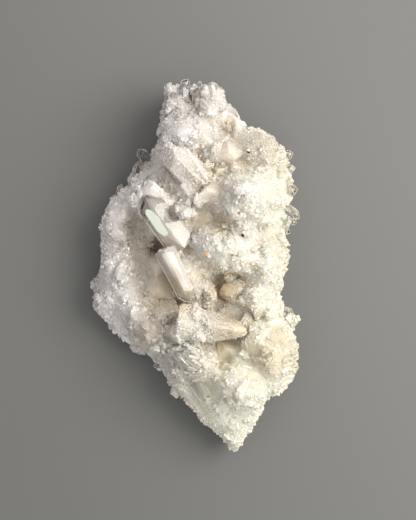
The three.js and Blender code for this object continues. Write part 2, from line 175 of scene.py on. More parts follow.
def crystal_form(number, sides):
    """A quartz point of radius 1 with its tip at z 0, cut by as many uneven faces as it has sides."""
    bpy.ops.object.select_all(action="DESELECT")
    bpy.ops.mesh.primitive_cylinder_add(vertices=sides, radius=1, depth=FORM_LENGTH, location=(0, 0, 0))
    form = bpy.context.object
    bpy.ops.object.mode_set(mode="EDIT")
    for side in range(sides):
        around = (side + 0.5) * math.tau / sides
        out = Vector((math.cos(around), math.sin(around), PYRAMID_SLOPE)).normalized()
        reach = FACE_REACH + (side + number) % 2 * FACE_STEP + random.uniform(*FACE_SPREAD)
        bpy.ops.mesh.select_all(action="SELECT")
        bpy.ops.mesh.bisect(plane_co=out * reach, plane_no=out, use_fill=True, clear_outer=True)
    bpy.ops.mesh.select_all(action="SELECT")
    bpy.ops.mesh.remove_doubles(threshold=SAME_PLACE)
    bpy.ops.mesh.quads_convert_to_tris()
    bpy.ops.object.mode_set(mode="OBJECT")
    corners = np.array([v.co for v in form.data.vertices])
    corners[:, 2] -= corners[:, 2].max()
    faces = np.array([p.vertices for p in form.data.polygons])
    bpy.data.objects.remove(form)
    return corners, faces


forms = [crystal_form(i, FORM_SIDES) for i in range(FORMS)]
grain_forms = [crystal_form(i, sides) for i, sides in enumerate(GRAIN_SIDES)]


def crystal_mesh(name, crystals, shapes):
    """One joined mesh with a crystal of one of the shapes at each tip, along its axis."""
    corners, faces = [], []
    base = 0
    for tip, axis, radius, length, flat, spin, cut in zip(*crystals):
        form_corners, form_faces = shapes[cut]
        placed = form_corners * (radius, radius * flat, radius)
        root = form_corners[:, 2] < form_corners[:, 2].min() + SAME_PLACE
        placed[root, :2] *= ROOT_WIDTH
        placed[root, 2] = -length
        turn = Vector(axis).to_track_quat("Z", "Y").to_matrix() @ Matrix.Rotation(spin, 3, "Z")
        corners.append(placed @ np.array(turn).T + tip)
        faces.append(form_faces + base)
        base += len(form_corners)
    mesh = bpy.data.meshes.new(name)
    mesh.from_pydata(np.concatenate(corners), [], np.concatenate(faces))
    piece = bpy.data.objects.new(name, mesh)
    scene.collection.objects.link(piece)
    return piece

# The skin of the milky mass: the solid's own form, softened where crystals cover it, without the
# clear points, which stand on it. It is where everything grows, and it lies under all of the coat.
CLEAR_POINTS = (
    ((-4.6, 50.5, 19.3), (-2.3, 55.5, 21), 1.5, 0.7, 20),
    ((1.2, 50, 19.3), (1.3, 55, 20), 0.6, 1, 0),
    ((24.6, 32.4, 16.1), (29, 33.8, 17.2), 1.5, 0.7, 0),
    ((25, 28.6, 16.1), (29.7, 29.4, 17.2), 1.4, 0.7, 0),
    ((25, 22.6, 17.7), (30.3, 22.9, 18.8), 1.7, 0.7, 0),
    ((23, 20.2, 15), (31, 14.6, 17.2), 1.7, 0.8, 10),
    ((22, 15.8, 12.4), (30.2, 13.2, 14.6), 1, 0.9, 0),
    ((21, 13, 12.4), (28.4, 10.4, 13.5), 1.2, 0.9, 0),
    ((-12, 29.4, 7.5), (-17.2, 35.4, 9.7), 1.8, 0.8, 0),
    ((-18.6, 24.6, 12.9), (-16.7, 31.8, 14.6), 1.7, 0.6, 60),
    ((-23.2, 19.6, 11.8), (-22, 24.7, 13.3), 1.6, 0.6, 60),
    ((23, -12, 12.9), (29.2, -13.6, 14), 1.2, 0.7, 0),
    ((24, -14.4, 11.8), (30.3, -16.2, 12.9), 0.9, 1, 0),
    ((-8.6, -29.6, 5.4), (-12.8, -30.2, 6.4), 1, 1, 0),
)
FINGER_ROOM = (  # where the fingers lie, which are built as crystals
    ((-3.5, 7.3, 28), (-16.4, 23.6, 29.6), 4.7, 1, 0),
    ((3.4, 23.4, 31), (-10.6, 36.8, 31.5), 5, 1, 0),
    ((-8.4, -16.6, 26.6), (17.5, -17.4, 26.2), 5.6, 1, 0),
)
CLEAR_ROOM = 1.1
CLEAR_ROOT = 0.35
SKIN_GRAIN = 0.8 * MM
SKIN_WELD = 0.001 * MM
HEALING = 1.0 * MM  # crevices up to twice as wide are grown shut
CLEAR_GAP = 1.0 * MM
SOFTENING = 3
SOFTENING_STEP = 0.5
GROWTH_SOFTENING = 26
TIP_START = -46  # from here the cluster narrows to its tip
TIP_LENGTH = 9.5
TIP_MIDDLE = 10.6
TIP_NARROWING = 0.55
TIP_LEAN = 1.0


def standing(points):
    """The crystals that are listed by root, tip, radius, flatness and turn, in mm and degrees."""
    roots = np.array([root for root, *rest in points]) * MM
    tips = np.array([tip for root, tip, *rest in points]) * MM
    radii, flats, turns = (np.array([point[i] for point in points]) for i in (2, 3, 4))
    lengths = np.linalg.norm(tips - roots, axis=1)
    axes = (tips - roots) / lengths[:, None]
    cuts = np.arange(len(points)) % FORMS
    return Crystals(tips, axes, radii * MM, lengths, flats, np.radians(turns), cuts)


def neighbours(cells, key):
    """Everything kept in the cells around a key."""
    for dx in (-1, 0, 1):
        for dy in (-1, 0, 1):
            for dz in (-1, 0, 1):
                yield from cells.get((key[0] + dx, key[1] + dy, key[2] + dz), ())


def apart(crystals):
    """Sorts crystals into groups in which none touches another."""
    middles = crystals.tips - crystals.axes * crystals.lengths[:, None] / 2
    reaches = np.hypot(crystals.lengths / 2, crystals.radii * ROOT_WIDTH)
    cell = reaches.max() * 2
    groups = []
    for i, middle in enumerate(middles):
        key = tuple((middle // cell).astype(int))
        for cells in groups:
            touching = False
            for j in neighbours(cells, key):
                gap = middles[j] - middle
                if gap @ gap < (reaches[i] + reaches[j]) ** 2:
                    touching = True
                    break
            if not touching:
                cells.setdefault(key, []).append(i)
                break
        else:
            groups.append({key: [i]})
    return [[i for members in cells.values() for i in members] for cells in groups]


def choose(piece):
    """Selects one piece alone and makes it the active one."""
    bpy.ops.object.select_all(action="DESELECT")
    piece.select_set(True)
    bpy.context.view_layer.objects.active = piece


def copy_of(piece, name):
    """A bare copy of a piece under a new name."""
    copy = bpy.data.objects.new(name, piece.data.copy())
    copy.data.materials.clear()
    scene.collection.objects.link(copy)
    return copy


def shape_by(piece, kind, **settings):
    """Shapes a piece by a modifier with these settings."""
    choose(piece)
    step = piece.modifiers.new("step", kind)
    for name, value in settings.items():
        setattr(step, name, value)
    bpy.ops.object.modifier_apply(modifier=step.name)


def join(piece, operation, tool):
    """Joins a tool into a piece so that they are one solid, or cuts its room out of the piece."""
    shape_by(piece, "BOOLEAN", operation=operation, solver="MANIFOLD", object=tool)
    bpy.data.objects.remove(tool)


def picked(crystals, which):
    """Those of the crystals that are picked by number or by a mask."""
    return Crystals(*(values[which] for values in crystals))


def combine(piece, operation, crystals, shapes):
    """Joins crystals into a piece, or cuts their room out of it, those that don't touch at a time."""
    for group in apart(crystals):
        join(piece, operation, crystal_mesh("tool", picked(crystals, group), shapes))


def even(piece):
    """Meshes a piece's surface evenly again."""
    choose(piece)
    piece.data.remesh_voxel_size = SKIN_GRAIN
    bpy.ops.object.voxel_remesh()


def swollen(piece, depth):
    """Moves a piece's surface outwards by a depth."""
    shape_by(piece, "DISPLACE", strength=depth, mid_level=0)
    even(piece)


def softened(piece, rounds):
    """Smooths a piece's mesh that many times."""
    shape_by(piece, "SMOOTH", factor=SOFTENING_STEP, iterations=rounds)


def corner_places(piece):
    """The places and normals of a piece's corners, as arrays."""
    count = len(piece.data.vertices)
    places = np.empty(count * 3)
    normals = np.empty(count * 3)
    piece.data.vertices.foreach_get("co", places)
    piece.data.vertices.foreach_get("normal", normals)
    return places.reshape(-1, 3), normals.reshape(-1, 3)


def sheltered(piece, rays=16, reach=14 * MM, lift=0.3, rounds=3):
    """How far each corner of a piece is shut in by the piece itself, from 0 to 1."""
    tree = BVHTree.FromObject(piece, bpy.context.evaluated_depsgraph_get())
    places, normals = corner_places(piece)
    golden = math.pi * (3 - math.sqrt(5))
    dome = []
    for i in range(rays):
        flat = math.sqrt((i + 0.5) / rays)
        height = math.sqrt(1 - flat * flat)
        dome.append(Vector((flat * math.cos(i * golden), flat * math.sin(i * golden), height)))
    shut = np.zeros(len(places))
    for i, (place, normal) in enumerate(zip(places, normals)):
        axis = Vector(normal)
        turn = axis.to_track_quat("Z", "Y")
        start = Vector(place) + axis * lift * MM
        hits = 0
        for ray in dome:
            if tree.ray_cast(start, turn @ ray, reach)[0] is not None:
                hits += 1
        shut[i] = hits / rays
    edges = np.empty(len(piece.data.edges) * 2, int)
    piece.data.edges.foreach_get("vertices", edges)
    edges = edges.reshape(-1, 2)
    for _ in range(rounds):
        total = shut.copy()
        weight = np.ones(len(shut))
        np.add.at(total, edges[:, 0], shut[edges[:, 1]])
        np.add.at(total, edges[:, 1], shut[edges[:, 0]])
        np.add.at(weight, edges.ravel(), 1)
        shut = total / weight
    return shut


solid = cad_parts["quartz_cluster"]
skin = copy_of(solid, "skin")
choose(skin)
bpy.ops.object.mode_set(mode="EDIT")
bpy.ops.mesh.select_all(action="SELECT")
bpy.ops.mesh.remove_doubles(threshold=SKIN_WELD)
bpy.ops.object.mode_set(mode="OBJECT")
even(skin)
swollen(skin, HEALING)
swollen(skin, -HEALING)
clear_points = standing(CLEAR_POINTS)
clear_room = clear_points._replace(
    tips=clear_points.tips + clear_points.axes * CLEAR_GAP,
    radii=clear_points.radii * CLEAR_ROOM,
    lengths=clear_points.lengths * (1 - CLEAR_ROOT) + CLEAR_GAP,
    flats=np.ones(len(CLEAR_POINTS)),
)
combine(skin, "DIFFERENCE", clear_room, forms)
combine(skin, "DIFFERENCE", standing(FINGER_ROOM), forms)
even(skin)
softened(skin, SOFTENING)
skin_shut = sheltered(skin)
skin_places = corner_places(skin)[0]
skin_places[:, 2] = np.maximum(skin_places[:, 2], 0)
beyond = np.clip((TIP_START - skin_places[:, 1] / MM) / TIP_LENGTH, 0, 1)
beside = skin_places[:, 0] / MM - TIP_MIDDLE
skin_places[:, 0] = MM * (TIP_MIDDLE + beside * (1 - TIP_NARROWING * beyond) + TIP_LEAN * beyond)
skin.data.vertices.foreach_set("co", skin_places.ravel())
skin_tree = KDTree(len(skin_places))
for i, place in enumerate(skin_places):
    skin_tree.insert(place, i)
skin_tree.balance()
lumps = copy_of(skin, "lumps")
softened(lumps, GROWTH_SOFTENING)
growth = corner_places(lumps)[1]
bpy.data.objects.remove(lumps)

# The coat: crystals of all sizes, each on its own root and pointing the way its lump grew, fused
# with the mass and with one another as they are in the stone. Clouded quartz that lets some light in.
COAT_FINENESS = 0.3
GROWTH_RUNS = (  # where crystals lie along one way instead of standing: middle, reach, way
    ((-6, 50), 6, (-0.15, 1, 0.3)),
    ((3.5, 50), 5, (0.1, 1, 0.25)),
    ((27, 28), 7, (1, 0.1, 0.25)),
    ((28, 0), 8, (1, 0.05, 0.25)),
    ((28, -27), 9, (1, -0.1, 0.3)),
    ((-27, 5), 13, (-1, 0.1, 0.35)),
    ((-14, 33), 7, (-0.8, 0.4, 0.35)),
    ((5, -16.5), 8, (1, 0.05, 0.2)),
    ((-1.5, -28), 8, (0.7, -0.6, 0.35)),
    ((-8, -37), 10, (-0.7, -0.6, 0.3)),
    ((11, -52), 6, (0.1, -1, 0.3)),
)
SMOOTH_SPOTS = (  # patches where no small crystals have grown: middle and reach
    ((11, 45.4), 3),
    ((-1.8, -27.6), 4.5),
    ((9.8, 33.6), 3.2),
    ((5, 23), 1.6),
    ((-4, 39.6), 1.6),
    ((3.5, 37.5), 1.5),
    ((13, -18.2), 1.6),
    ((-11.5, 14), 4),
    ((-8.5, 9.5), 3.5),
    ((-5.5, -1.5), 2.6),
    ((-3, -6), 2.6),
    ((8, -7.5), 2.6),
    ((3, 14.5), 2.2),
    ((-10.5, -5.5), 4.5),
    ((-10, 1), 3.5),
    ((9.2, -24.6), 3.5),
)
GLASSY_POINTS = (  # clear quartz round a clouded heart, whose share of the width comes last
    ((-4, 6.8, 24), (-15, 20.6, 29.6), 4.6, 0.9, 0, 0.86),
    ((-8.6, 5.4, 26), (-1.2, -10, 24.8), 3.2, 0.85, 10, 0.86),
    ((0.4, 46, 22.6), (0.6, 52.6, 24), 1.4, 0.8, 0, 0.93),
    ((2.2, 46, 22.8), (2.5, 53.6, 24.6), 1.3, 0.8, 10, 0.93),
    ((4, 46, 22.8), (4.3, 53.9, 24.8), 1.2, 0.8, 0, 0.93),
    ((5.6, 46, 22.2), (5.9, 53.8, 23.8), 1.1, 0.9, 20, 0.92),
    ((6.8, 45.6, 21), (7.3, 53, 22.4), 1.1, 0.9, 0, 0.9),
    ((-6.6, 46, 21), (-7, 52, 23), 2.4, 0.8, 10, 0.88),
    ((-3.6, 47, 21.4), (-3.4, 54, 22.6), 1.7, 0.8, 0, 0.85),
    ((-8, 16, 28.4), (-1.4, 17, 31.6), 1.8, 0.4, 0, 0.92),
    ((-9.4, -25, 13), (-12.4, -22.4, 19.6), 1.4, 0.6, 0, 0.8),
    ((-7.6, -24.4, 13), (-8.6, -21.6, 20.6), 1.3, 0.7, 0, 0.8),
    ((-0.6, -34.2, 18.4), (3, -39.8, 19.6), 1.3, 0.6, 0, 0.85),
    ((0.8, -33.4, 19.4), (4.2, -38.8, 20.8), 1.1, 0.6, 0, 0.85),
    ((9.2, -38.4, 25), (10.6, -40.4, 28), 1.3, 0.7, 0, 0.85),
    ((17.6, -38.6, 13), (26.4, -35, 14.6), 2, 0.5, 20, 0.88),
)
MILKY_POINTS = (
    ((9, 33, 21), (9.9, 33.6, 31.6), 3.3, 1, 0),
    ((-4.6, 12.4, 24.5), (-15.4, 25, 27.5), 3, 0.9, 0),
    ((4.4, 22.4, 22.5), (-9.2, 35.4, 30), 4.4, 0.9, 0),
    ((-2, -17.5, 18), (-3.4, -16.2, 29.5), 3, 0.9, 0),
    ((1.5, -18.5, 18), (0.8, -19.4, 30), 2.8, 0.9, 20),
    ((0.5, -14.8, 18), (0, -14.2, 30.2), 2.8, 0.8, 40),
    ((-3.8, -19.5, 17), (-5.2, -20.4, 27.5), 2.4, 0.9, 10),
    ((3.4, -16.4, 18), (3.6, -16.2, 30.6), 2.6, 0.9, 0),
    ((8, -4.6, 4), (8.2, -4.2, 16.6), 4.4, 1, 0),
    ((15.6, -5, 18), (7, -8, 20.8), 2.4, 0.8, 30),
    ((14.4, -10.6, 17), (7.4, -6.4, 20.2), 1.9, 0.9, 30),
    ((1.6, -3.4, 17), (6.4, -9.8, 21), 1.9, 0.9, 25),
    ((3.4, -13, 16), (4.8, -8.8, 20.6), 1.6, 0.9, 0),
    ((12, -1.2, 16), (9.2, -4.6, 19.4), 1.5, 0.9, 10),
    ((11, -47, 8.5), (11.8, -55.6, 9), 1.6, 0.9, 0),
    ((9.2, 41.4, 8), (9.4, 42, 21.5), 2.8, 0.9, 0),
    ((4.3, 28.6, 14), (4.6, 29, 26.5), 2.8, 0.9, 0),
    ((9.6, -24.2, 8), (9.2, -24.6, 21.4), 4.4, 0.9, 10),
    ((-7, -22.8, 8), (-7, -22.8, 18.5), 2.2, 0.9, 0),
    ((-9.6, -7, 4), (-10.6, -7.6, 18), 6, 0.9, 0),
    ((-8.6, -14.6, 5), (-9.4, -14.4, 20), 5.4, 0.9, 20),
    ((-11, 0, 4), (-11.6, -0.6, 17.4), 5, 0.9, 40),
)
HEART_DEPTH = 0.35  # how far under the tip of its crystal a heart ends, in radii
CONE_ROOT = (-5, -16, 24.2)  # the fluted finger
CONE_TIP = (14.8, -18.6, 24.6)
CONE_WIDTH = 5
CONE_END = 0.12
CONE_CURVE = 1.7
CONE_RIDGES = 13
CONE_RINGS = 7
CONE_FLUTE = 0.09
FLUTE_LEAST = 0.35
FLUTE_TURN = 1.7
FAN_MIDDLE = (-1.6, -27.6)  # the fan of fibres
FAN_REACH = 7.5
FAN_ROOT = (-10, -23.5)
FIBRE_RADIUS = 0.5
FIBRE_LENGTH = 5
FIBRE_RISE = -0.1
UNDERSIDE = 2.2 * MM
SMOOTH_ABOVE = 12 * MM
FACE_PULL = 0.3  # a crystal points partly out of its face and partly with its lump
LUMP_PULL = 0.7
DRIFT_SIZE = 9 * MM
RUN_PULL = 1.6
RUN_MOST = 1.4
BARE_PATCHES = (7 * MM, (8.2, 1.5, 0))  # size and place of the random field, here and below
BARE_LEVEL = 6.5
BARE_SLOPE = 9
BARE_CHANCE = 0.15
COARSE_PATCHES = (9 * MM, (3.1, 0, 7.7))
SIZE_SPREAD = (0.5, 1)
LEANING_RISE = 1.7
WALL_HEIGHT = 0.5
TOP_HEIGHT = 0.9
EDGE_RISE = 0.4  # crystals on the walls stand out less
ROOT_DEPTH = 1.2
FLATNESS = (0.45, 1)
OUTER_REACH = (30.6 * MM, 53.6 * MM)
LAID_TRIES = 30000
LAID_ABOVE = 10 * MM
LAID_HUG = 0.85
LAID_JITTER = 0.2
LAID_RADII = (0.6, 1.25)
LAID_LENGTHS = (0.6, 1.2)
LAID_FLATNESS = (0.5, 0.9)
LAID_CLOSENESS = 1.1
LAID_FORWARD = 0.4
SMOOTH_ANGLE = 28


def surface_spots(piece, count, *fields):
    """Random places on a piece's faces, spread by area, with the values of the fields there."""
    piece.data.calc_loop_triangles()
    triangles = np.empty(len(piece.data.loop_triangles) * 3, int)
    piece.data.loop_triangles.foreach_get("vertices", triangles)
    triangles = triangles.reshape(-1, 3)
    places, normals = corner_places(piece)
    a, b, c = (places[triangles[:, i]] for i in range(3))
    area = np.linalg.norm(np.cross(b - a, c - a), axis=1)
    chosen = rng.choice(len(triangles), count, p=area / area.sum())
    share = rng.random((count, 2))
    over = share.sum(1) > 1
    share[over] = 1 - share[over]
    mix = np.column_stack([1 - share.sum(1), share])

    def blended(values):
        return sum(values[triangles[chosen, i]] * mix[:, i:i + 1] for i in range(3))

    return [blended(values) for values in (places, normals, *fields)]


def unit(vectors):
    """The vectors at length 1."""
    return vectors / np.linalg.norm(vectors, axis=1, keepdims=True)


def spaced(places, radii, closeness):
    """Picks the spots, in order, that stand clear of those picked before them."""
    cell = radii.max() * 2 * closeness
    cells = {}
    keep = []
    for i, place in enumerate(places):
        key = tuple((place // cell).astype(int))
        near = list(neighbours(cells, key))
        if near:
            gaps = np.linalg.norm(places[near] - place, axis=1)
            if (gaps < closeness * (radii[near] + radii[i])).any():
                continue
        cells.setdefault(key, []).append(i)
        keep.append(i)
    return np.array(keep)


def slow_noise(places, size, offset, middle=0.5, swing=0.9):
    """A slow random field over the places, from 0 to 1."""
    value = [noise.noise(Vector(place) / size + Vector(offset)) for place in places]
    return np.clip(middle + swing * np.array(value), 0, 1)


def away_from(places, middle, reach=1):
    """How far the places lie from a middle in mm, seen from above, as a share of a reach."""
    return np.linalg.norm(places[:, :2] / MM - middle, axis=1) / reach


def grown_ways(spots, outs, ways, lie, jitter):
    """The way each crystal points: with its lump, laid over with its neighbours, or along a run."""
    ways = unit(FACE_PULL * unit(outs) + LUMP_PULL * unit(ways))
    drift = np.array([noise.noise_vector(Vector(spot) / DRIFT_SIZE) for spot in spots])
    drift -= ways * (drift * ways).sum(1, keepdims=True)
    ways = (1 - lie) * ways + lie * unit(drift)
    for middle, reach, way in GROWTH_RUNS:
        pull = np.clip(RUN_PULL * (1 - away_from(spots, middle, reach)), 0, RUN_MOST)
        ways = ways + pull[:, None] * np.array(way)
    return unit(unit(ways) + rng.normal(0, jitter, spots.shape))


def on_smooth(spots):
    """Which spots lie on a smooth patch."""
    lies = np.zeros(len(spots), bool)
    for middle, reach in SMOOTH_SPOTS:
        lies |= away_from(spots, middle) < reach
    return lies & (spots[:, 2] > SMOOTH_ABOVE)


def grown_crystals(piece, tries, least, most, closeness, rise, lie, jitter):
    """The crystals of one range of sizes that have grown on a piece."""
    spots, outs = surface_spots(piece, tries)
    ways = growth[[skin_tree.find(spot)[1] for spot in spots]]
    chance = np.clip(BARE_LEVEL - BARE_SLOPE * slow_noise(spots, *BARE_PATCHES), BARE_CHANCE, 1)
    shown = (spots[:, 2] > UNDERSIDE) & ~on_smooth(spots)
    shown &= rng.random(tries) < chance
    spots, outs, ways = spots[shown], outs[shown], ways[shown]
    coarse = slow_noise(spots, *COARSE_PATCHES)
    radii = least + (most - least) * coarse * rng.uniform(*SIZE_SPREAD, len(spots))
    order = np.argsort(-radii)
    kept = order[spaced(spots[order], radii[order], closeness)]
    spots, outs, ways, radii = spots[kept], outs[kept], ways[kept], radii[kept]
    axes = grown_ways(spots, outs, ways, lie, jitter)
    upright = np.clip((axes * unit(outs)).sum(1), 0, 1)
    height = radii * rng.uniform(*rise, len(spots)) + radii * LEANING_RISE * (1 - upright)
    height *= np.clip(WALL_HEIGHT + TOP_HEIGHT * ways[:, 2], EDGE_RISE, 1)
    tips = spots + axes * height[:, None]
    flats = rng.uniform(*FLATNESS, len(spots))
    spins = rng.uniform(0, math.tau, len(spots))
    cuts = rng.integers(FORMS, size=len(spots))
    grown = Crystals(tips, axes, radii, height + radii * ROOT_DEPTH, flats, spins, cuts)
    return picked(grown, (np.abs(tips[:, :2]) < OUTER_REACH).all(axis=1))


def laid_crystals(places, middle, reach, radius, length, way=None, spread=None, rise=0.3):
    """Long crystals that lie side by side on a patch, along one way or spreading from a place."""
    spots, outs = places
    near = away_from(spots, middle) < reach
    near &= spots[:, 2] > LAID_ABOVE
    spots, outs = spots[near], unit(outs[near])
    ways = np.tile(np.array(way or (0, 0, 0), float), (len(spots), 1))
    if spread:
        ways[:, :2] = spots[:, :2] / MM - spread
    ways = unit(ways)
    ways = ways - LAID_HUG * outs * (ways * outs).sum(1, keepdims=True)
    ways = unit(ways + rng.normal(0, LAID_JITTER, ways.shape))
    radii = radius * MM * rng.uniform(*LAID_RADII, len(spots))
    kept = spaced(spots, radii, LAID_CLOSENESS)
    spots, outs, ways, radii = spots[kept], outs[kept], ways[kept], radii[kept]
    lengths = length * MM * rng.uniform(*LAID_LENGTHS, len(radii))
    tips = spots + ways * lengths[:, None] * LAID_FORWARD + outs * radii[:, None] * rise
    flats = rng.uniform(*LAID_FLATNESS, len(radii))
    spins = rng.uniform(0, math.tau, len(radii))
    cuts = rng.integers(FORMS, size=len(radii))
    return Crystals(tips, ways, radii, lengths, flats, spins, cuts)


def gathered(groups):
    """The crystals of several groups as one."""
    return Crystals(*(np.concatenate(values) for values in zip(*groups)))


coat = copy_of(skin, "crystal_coat")
shape_by(coat, "DECIMATE", ratio=COAT_FINENESS)
glassy = standing(GLASSY_POINTS)
hearts = glassy._replace(
    tips=glassy.tips - glassy.axes * glassy.radii[:, None] * HEART_DEPTH,
    radii=glassy.radii * [heart for *point, heart in GLASSY_POINTS],
    lengths=glassy.lengths - glassy.radii * HEART_DEPTH,
)
combine(coat, "UNION", hearts, forms)
combine(coat, "UNION", standing(MILKY_POINTS), forms)
root, tip = Vector(CONE_ROOT) * MM, Vector(CONE_TIP) * MM
reach = (tip - root).length
bpy.ops.object.select_all(action="DESELECT")
bpy.ops.mesh.primitive_cylinder_add(
    vertices=CONE_RIDGES * 2, radius=CONE_WIDTH * MM, depth=reach, location=(0, 0, 0)
)
cone = bpy.context.object
bpy.ops.object.mode_set(mode="EDIT")
for cut in range(1, CONE_RINGS):
    bpy.ops.mesh.select_all(action="SELECT")
    bpy.ops.mesh.bisect(plane_co=(0, 0, (cut / CONE_RINGS - 0.5) * reach), plane_no=(0, 0, 1))
bpy.ops.object.mode_set(mode="OBJECT")
for corner in cone.data.vertices:
    along = min(max(corner.co.z / reach + 0.5, 0), 1)
    narrow = CONE_END + (1 - CONE_END) * math.sqrt(1 - along ** CONE_CURVE)
    ridge = round(math.atan2(corner.co.y, corner.co.x) / math.tau * CONE_RIDGES * 2)
    flute = FLUTE_LEAST + (1 - FLUTE_LEAST) * math.sin(ridge * FLUTE_TURN) ** 2
    narrow *= 1 - CONE_FLUTE * (ridge % 2) * flute
    corner.co.x *= narrow
    corner.co.y *= narrow
cone.location = (root + tip) / 2
cone.rotation_euler = (tip - root).to_track_quat("Z", "Y").to_euler()
bpy.ops.object.transform_apply(location=True, rotation=True, scale=True)
join(coat, "UNION", cone)
stout = grown_crystals(
    skin, tries=1500, least=1.3 * MM, most=3.4 * MM, closeness=0.9, rise=(-0.35, 0), lie=0.35, jitter=0.35
)
medium = grown_crystals(
    skin, tries=3000, least=0.7 * MM, most=1.5 * MM, closeness=0.95, rise=(-0.1, 0.35), lie=0.6, jitter=0.3
)
skin_spots = surface_spots(skin, LAID_TRIES)
fibres = laid_crystals(
    skin_spots, FAN_MIDDLE, FAN_REACH, FIBRE_RADIUS, FIBRE_LENGTH, spread=FAN_ROOT, rise=FIBRE_RISE
)
combine(coat, "UNION", gathered([stout, medium, fibres]), forms)
for corner in coat.data.vertices:
    corner.co.z = max(corner.co.z, 0)
coat.data.materials.clear()

choose(coat)
bpy.ops.object.shade_smooth_by_angle(angle=math.radians(SMOOTH_ANGLE))

# The colour of the quartz: cool and darker on the left and cream on the right, partly its own tone and
# partly painted shade and painted light; tan and rust where the mass is shut in, partly clay and iron that
# have settled in the hollows and partly painted shade there; some crystals that are clouded tan, and tan
# patches of painted shade in filled pits and the valley; greyer places, partly clearer quartz that shows a
# darker inside and partly painted shade on the left and lower-left flanks. Edges carry a painted highlight,
# and healed cracks in it are pale.
# Stain and painted shade: where the mass is shut in, its colour goes tan and rust, partly clay and iron
# settled in the hollows and partly painted shade; these patches make it stronger at pits.
STAINS_AND_SHADE = (  # middle, reach, strength
    ((-11.5, 6.3), 4, 0.8),
    ((8, -4.5), 6, 0.4),
    ((6.2, -9.3), 4, 0.3),
    ((12, -19), 6, 0.4),
    ((9.8, -23.4), 5, 0.25),
    ((4.4, 28.8), 3.5, 0.35),
    ((2.9, 14), 4.5, 0.3),
    ((15.5, 9.6), 3, 0.5),
    ((-8.3, -10), 8, 0.3),
    ((-2.5, -10.8), 3, 0.5),
    ((9.2, 41), 3, 0.3),
)
OPEN_STAIN_AND_SHADE = 0.42
STAIN_AND_SHADE_FADE = (1.6, 1)  # level and slope from a patch's middle to its reach, here and below
SHUT_LEAST = 0.1
SHUT_RANGE = 0.6
# Tan patches: some are crystals clouded tan themselves, and some paint shade into pits that were filled in
# and into the valley.
TINTS_AND_SHADE = (  # crystals that are clouded tan themselves: middle, reach, strength
    ((10, -17.8), 6.5, 0.62),
    ((9, -7), 6, 0.7),
    ((8, -23), 4.5, 0.5),
    ((-9, -9), 10, 0.5),
    ((3, 14.5), 4.5, 0.42),
    ((9.2, 41.5), 3.5, 0.6),
    ((4.6, 28.6), 4, 0.5),
    ((5, 23), 4, 0.32),
    ((-14, -18), 7, 0.3),
    ((-1.2, -28), 7, 0.2),
    ((20, 34), 8, 0.25),
    ((23, -25), 9, 0.32),
    ((1.6, -2), 6, 0.3),
    ((9, 35), 5, 0.2),
)
TINT_AND_SHADE_FADE = (1.8, 1.8)
# Greyer patches: partly clearer quartz that shows a darker inside, partly painted shade on the left and
# lower-left flanks away from the light and in recesses.
GREY_AND_SHADE_SPOTS = (  # where the quartz is clearer and shows its darker inside: middle, reach, strength
    ((-5, 49.5), 8, 0.8),
    ((3, 50), 6, 0.3),
    ((9.4, 41.6), 3.5, 0.8),
    ((18, 6.6), 7, 0.2),
    ((-28, 10), 10, 0.6),
    ((-29, -6), 10, 0.85),
    ((-15, -18), 9, 0.75),
    ((-9, -35), 11, 0.5),
    ((20, 34.5), 8, 0.65),
    ((8, -17), 9, 0.95),
    ((26, 4), 7, 0.3),
    ((23, -24), 9, 0.35),
    ((-10, 13), 6, 0.15),
    ((-5, -3), 5, 0.3),
    ((11, 45), 3.5, 0.7),
    ((-13, 24), 4, 0.6),
    ((8.5, -7), 5, 0.5),
    ((3.5, 15), 5, 0.3),
    ((5, 23), 4, 0.3),
    ((-1.2, -28), 6, 0.25),
)
GREY_AND_SHADE_FADE = (1.6, 1.6)
QUARTZ_IOR = 1.544
# Cool, darker tone on the left and cream on the right: partly the quartz's own tone, partly painted shade
# and painted light.
COOL_SHADED_TONE = (0.85, 0.8, 0.77, 1)
CREAM_LIT_TONE = (0.985, 0.93, 0.775, 1)
TONE_RANGE = (-0.008, 0.045)
TONE_SLANT = -0.35
TONE_WANDER = 0.03
WANDER_SCALE = 70
WANDER_DETAIL = 3
CLOUD_SCALE = 260
CLOUD_DETAIL = 5
PATCH_SWING = 0.5
PATCH_LEAST = 0.75
NO_STAIN = (1, 1, 1, 1)
TAN_STAIN_AND_SHADE = (0.92, 0.845, 0.705, 1)
TAN_LEVEL = 0.45
RUST_STAIN_AND_SHADE = (0.5, 0.34, 0.19, 1)
GREY_SHADE_TONE = (0.72, 0.71, 0.73, 1)
# The pale tone of the painted highlights on edges.
RIM_HIGHLIGHT_TONE = (1, 0.99, 0.96, 1)
RIM_WIDTH = 0.18 * MM
RIM_SAMPLES = 6
RIM_RANGE = (0.998, 0.92)  # how far the rounded normal leans, from flat to the middle of a rim
CREASE_SAMPLES = 4
CREASE_REACH = 1.2 * MM
VEIL_SCALE = 700
VEIL_WIDTH = 0.09
VEIL_BEND = 2.5 * MM
VEIL_BREAKS = (0.4, 0.6)


def strongest(values, places, patches, level, slope):
    """The values at the places, raised to the strength of each patch that lies over them."""
    for middle, reach, strength in patches:
        nearness = np.clip(level - slope * away_from(places, middle, reach), 0, 1)
        values = np.maximum(values, strength * nearness)
    return values


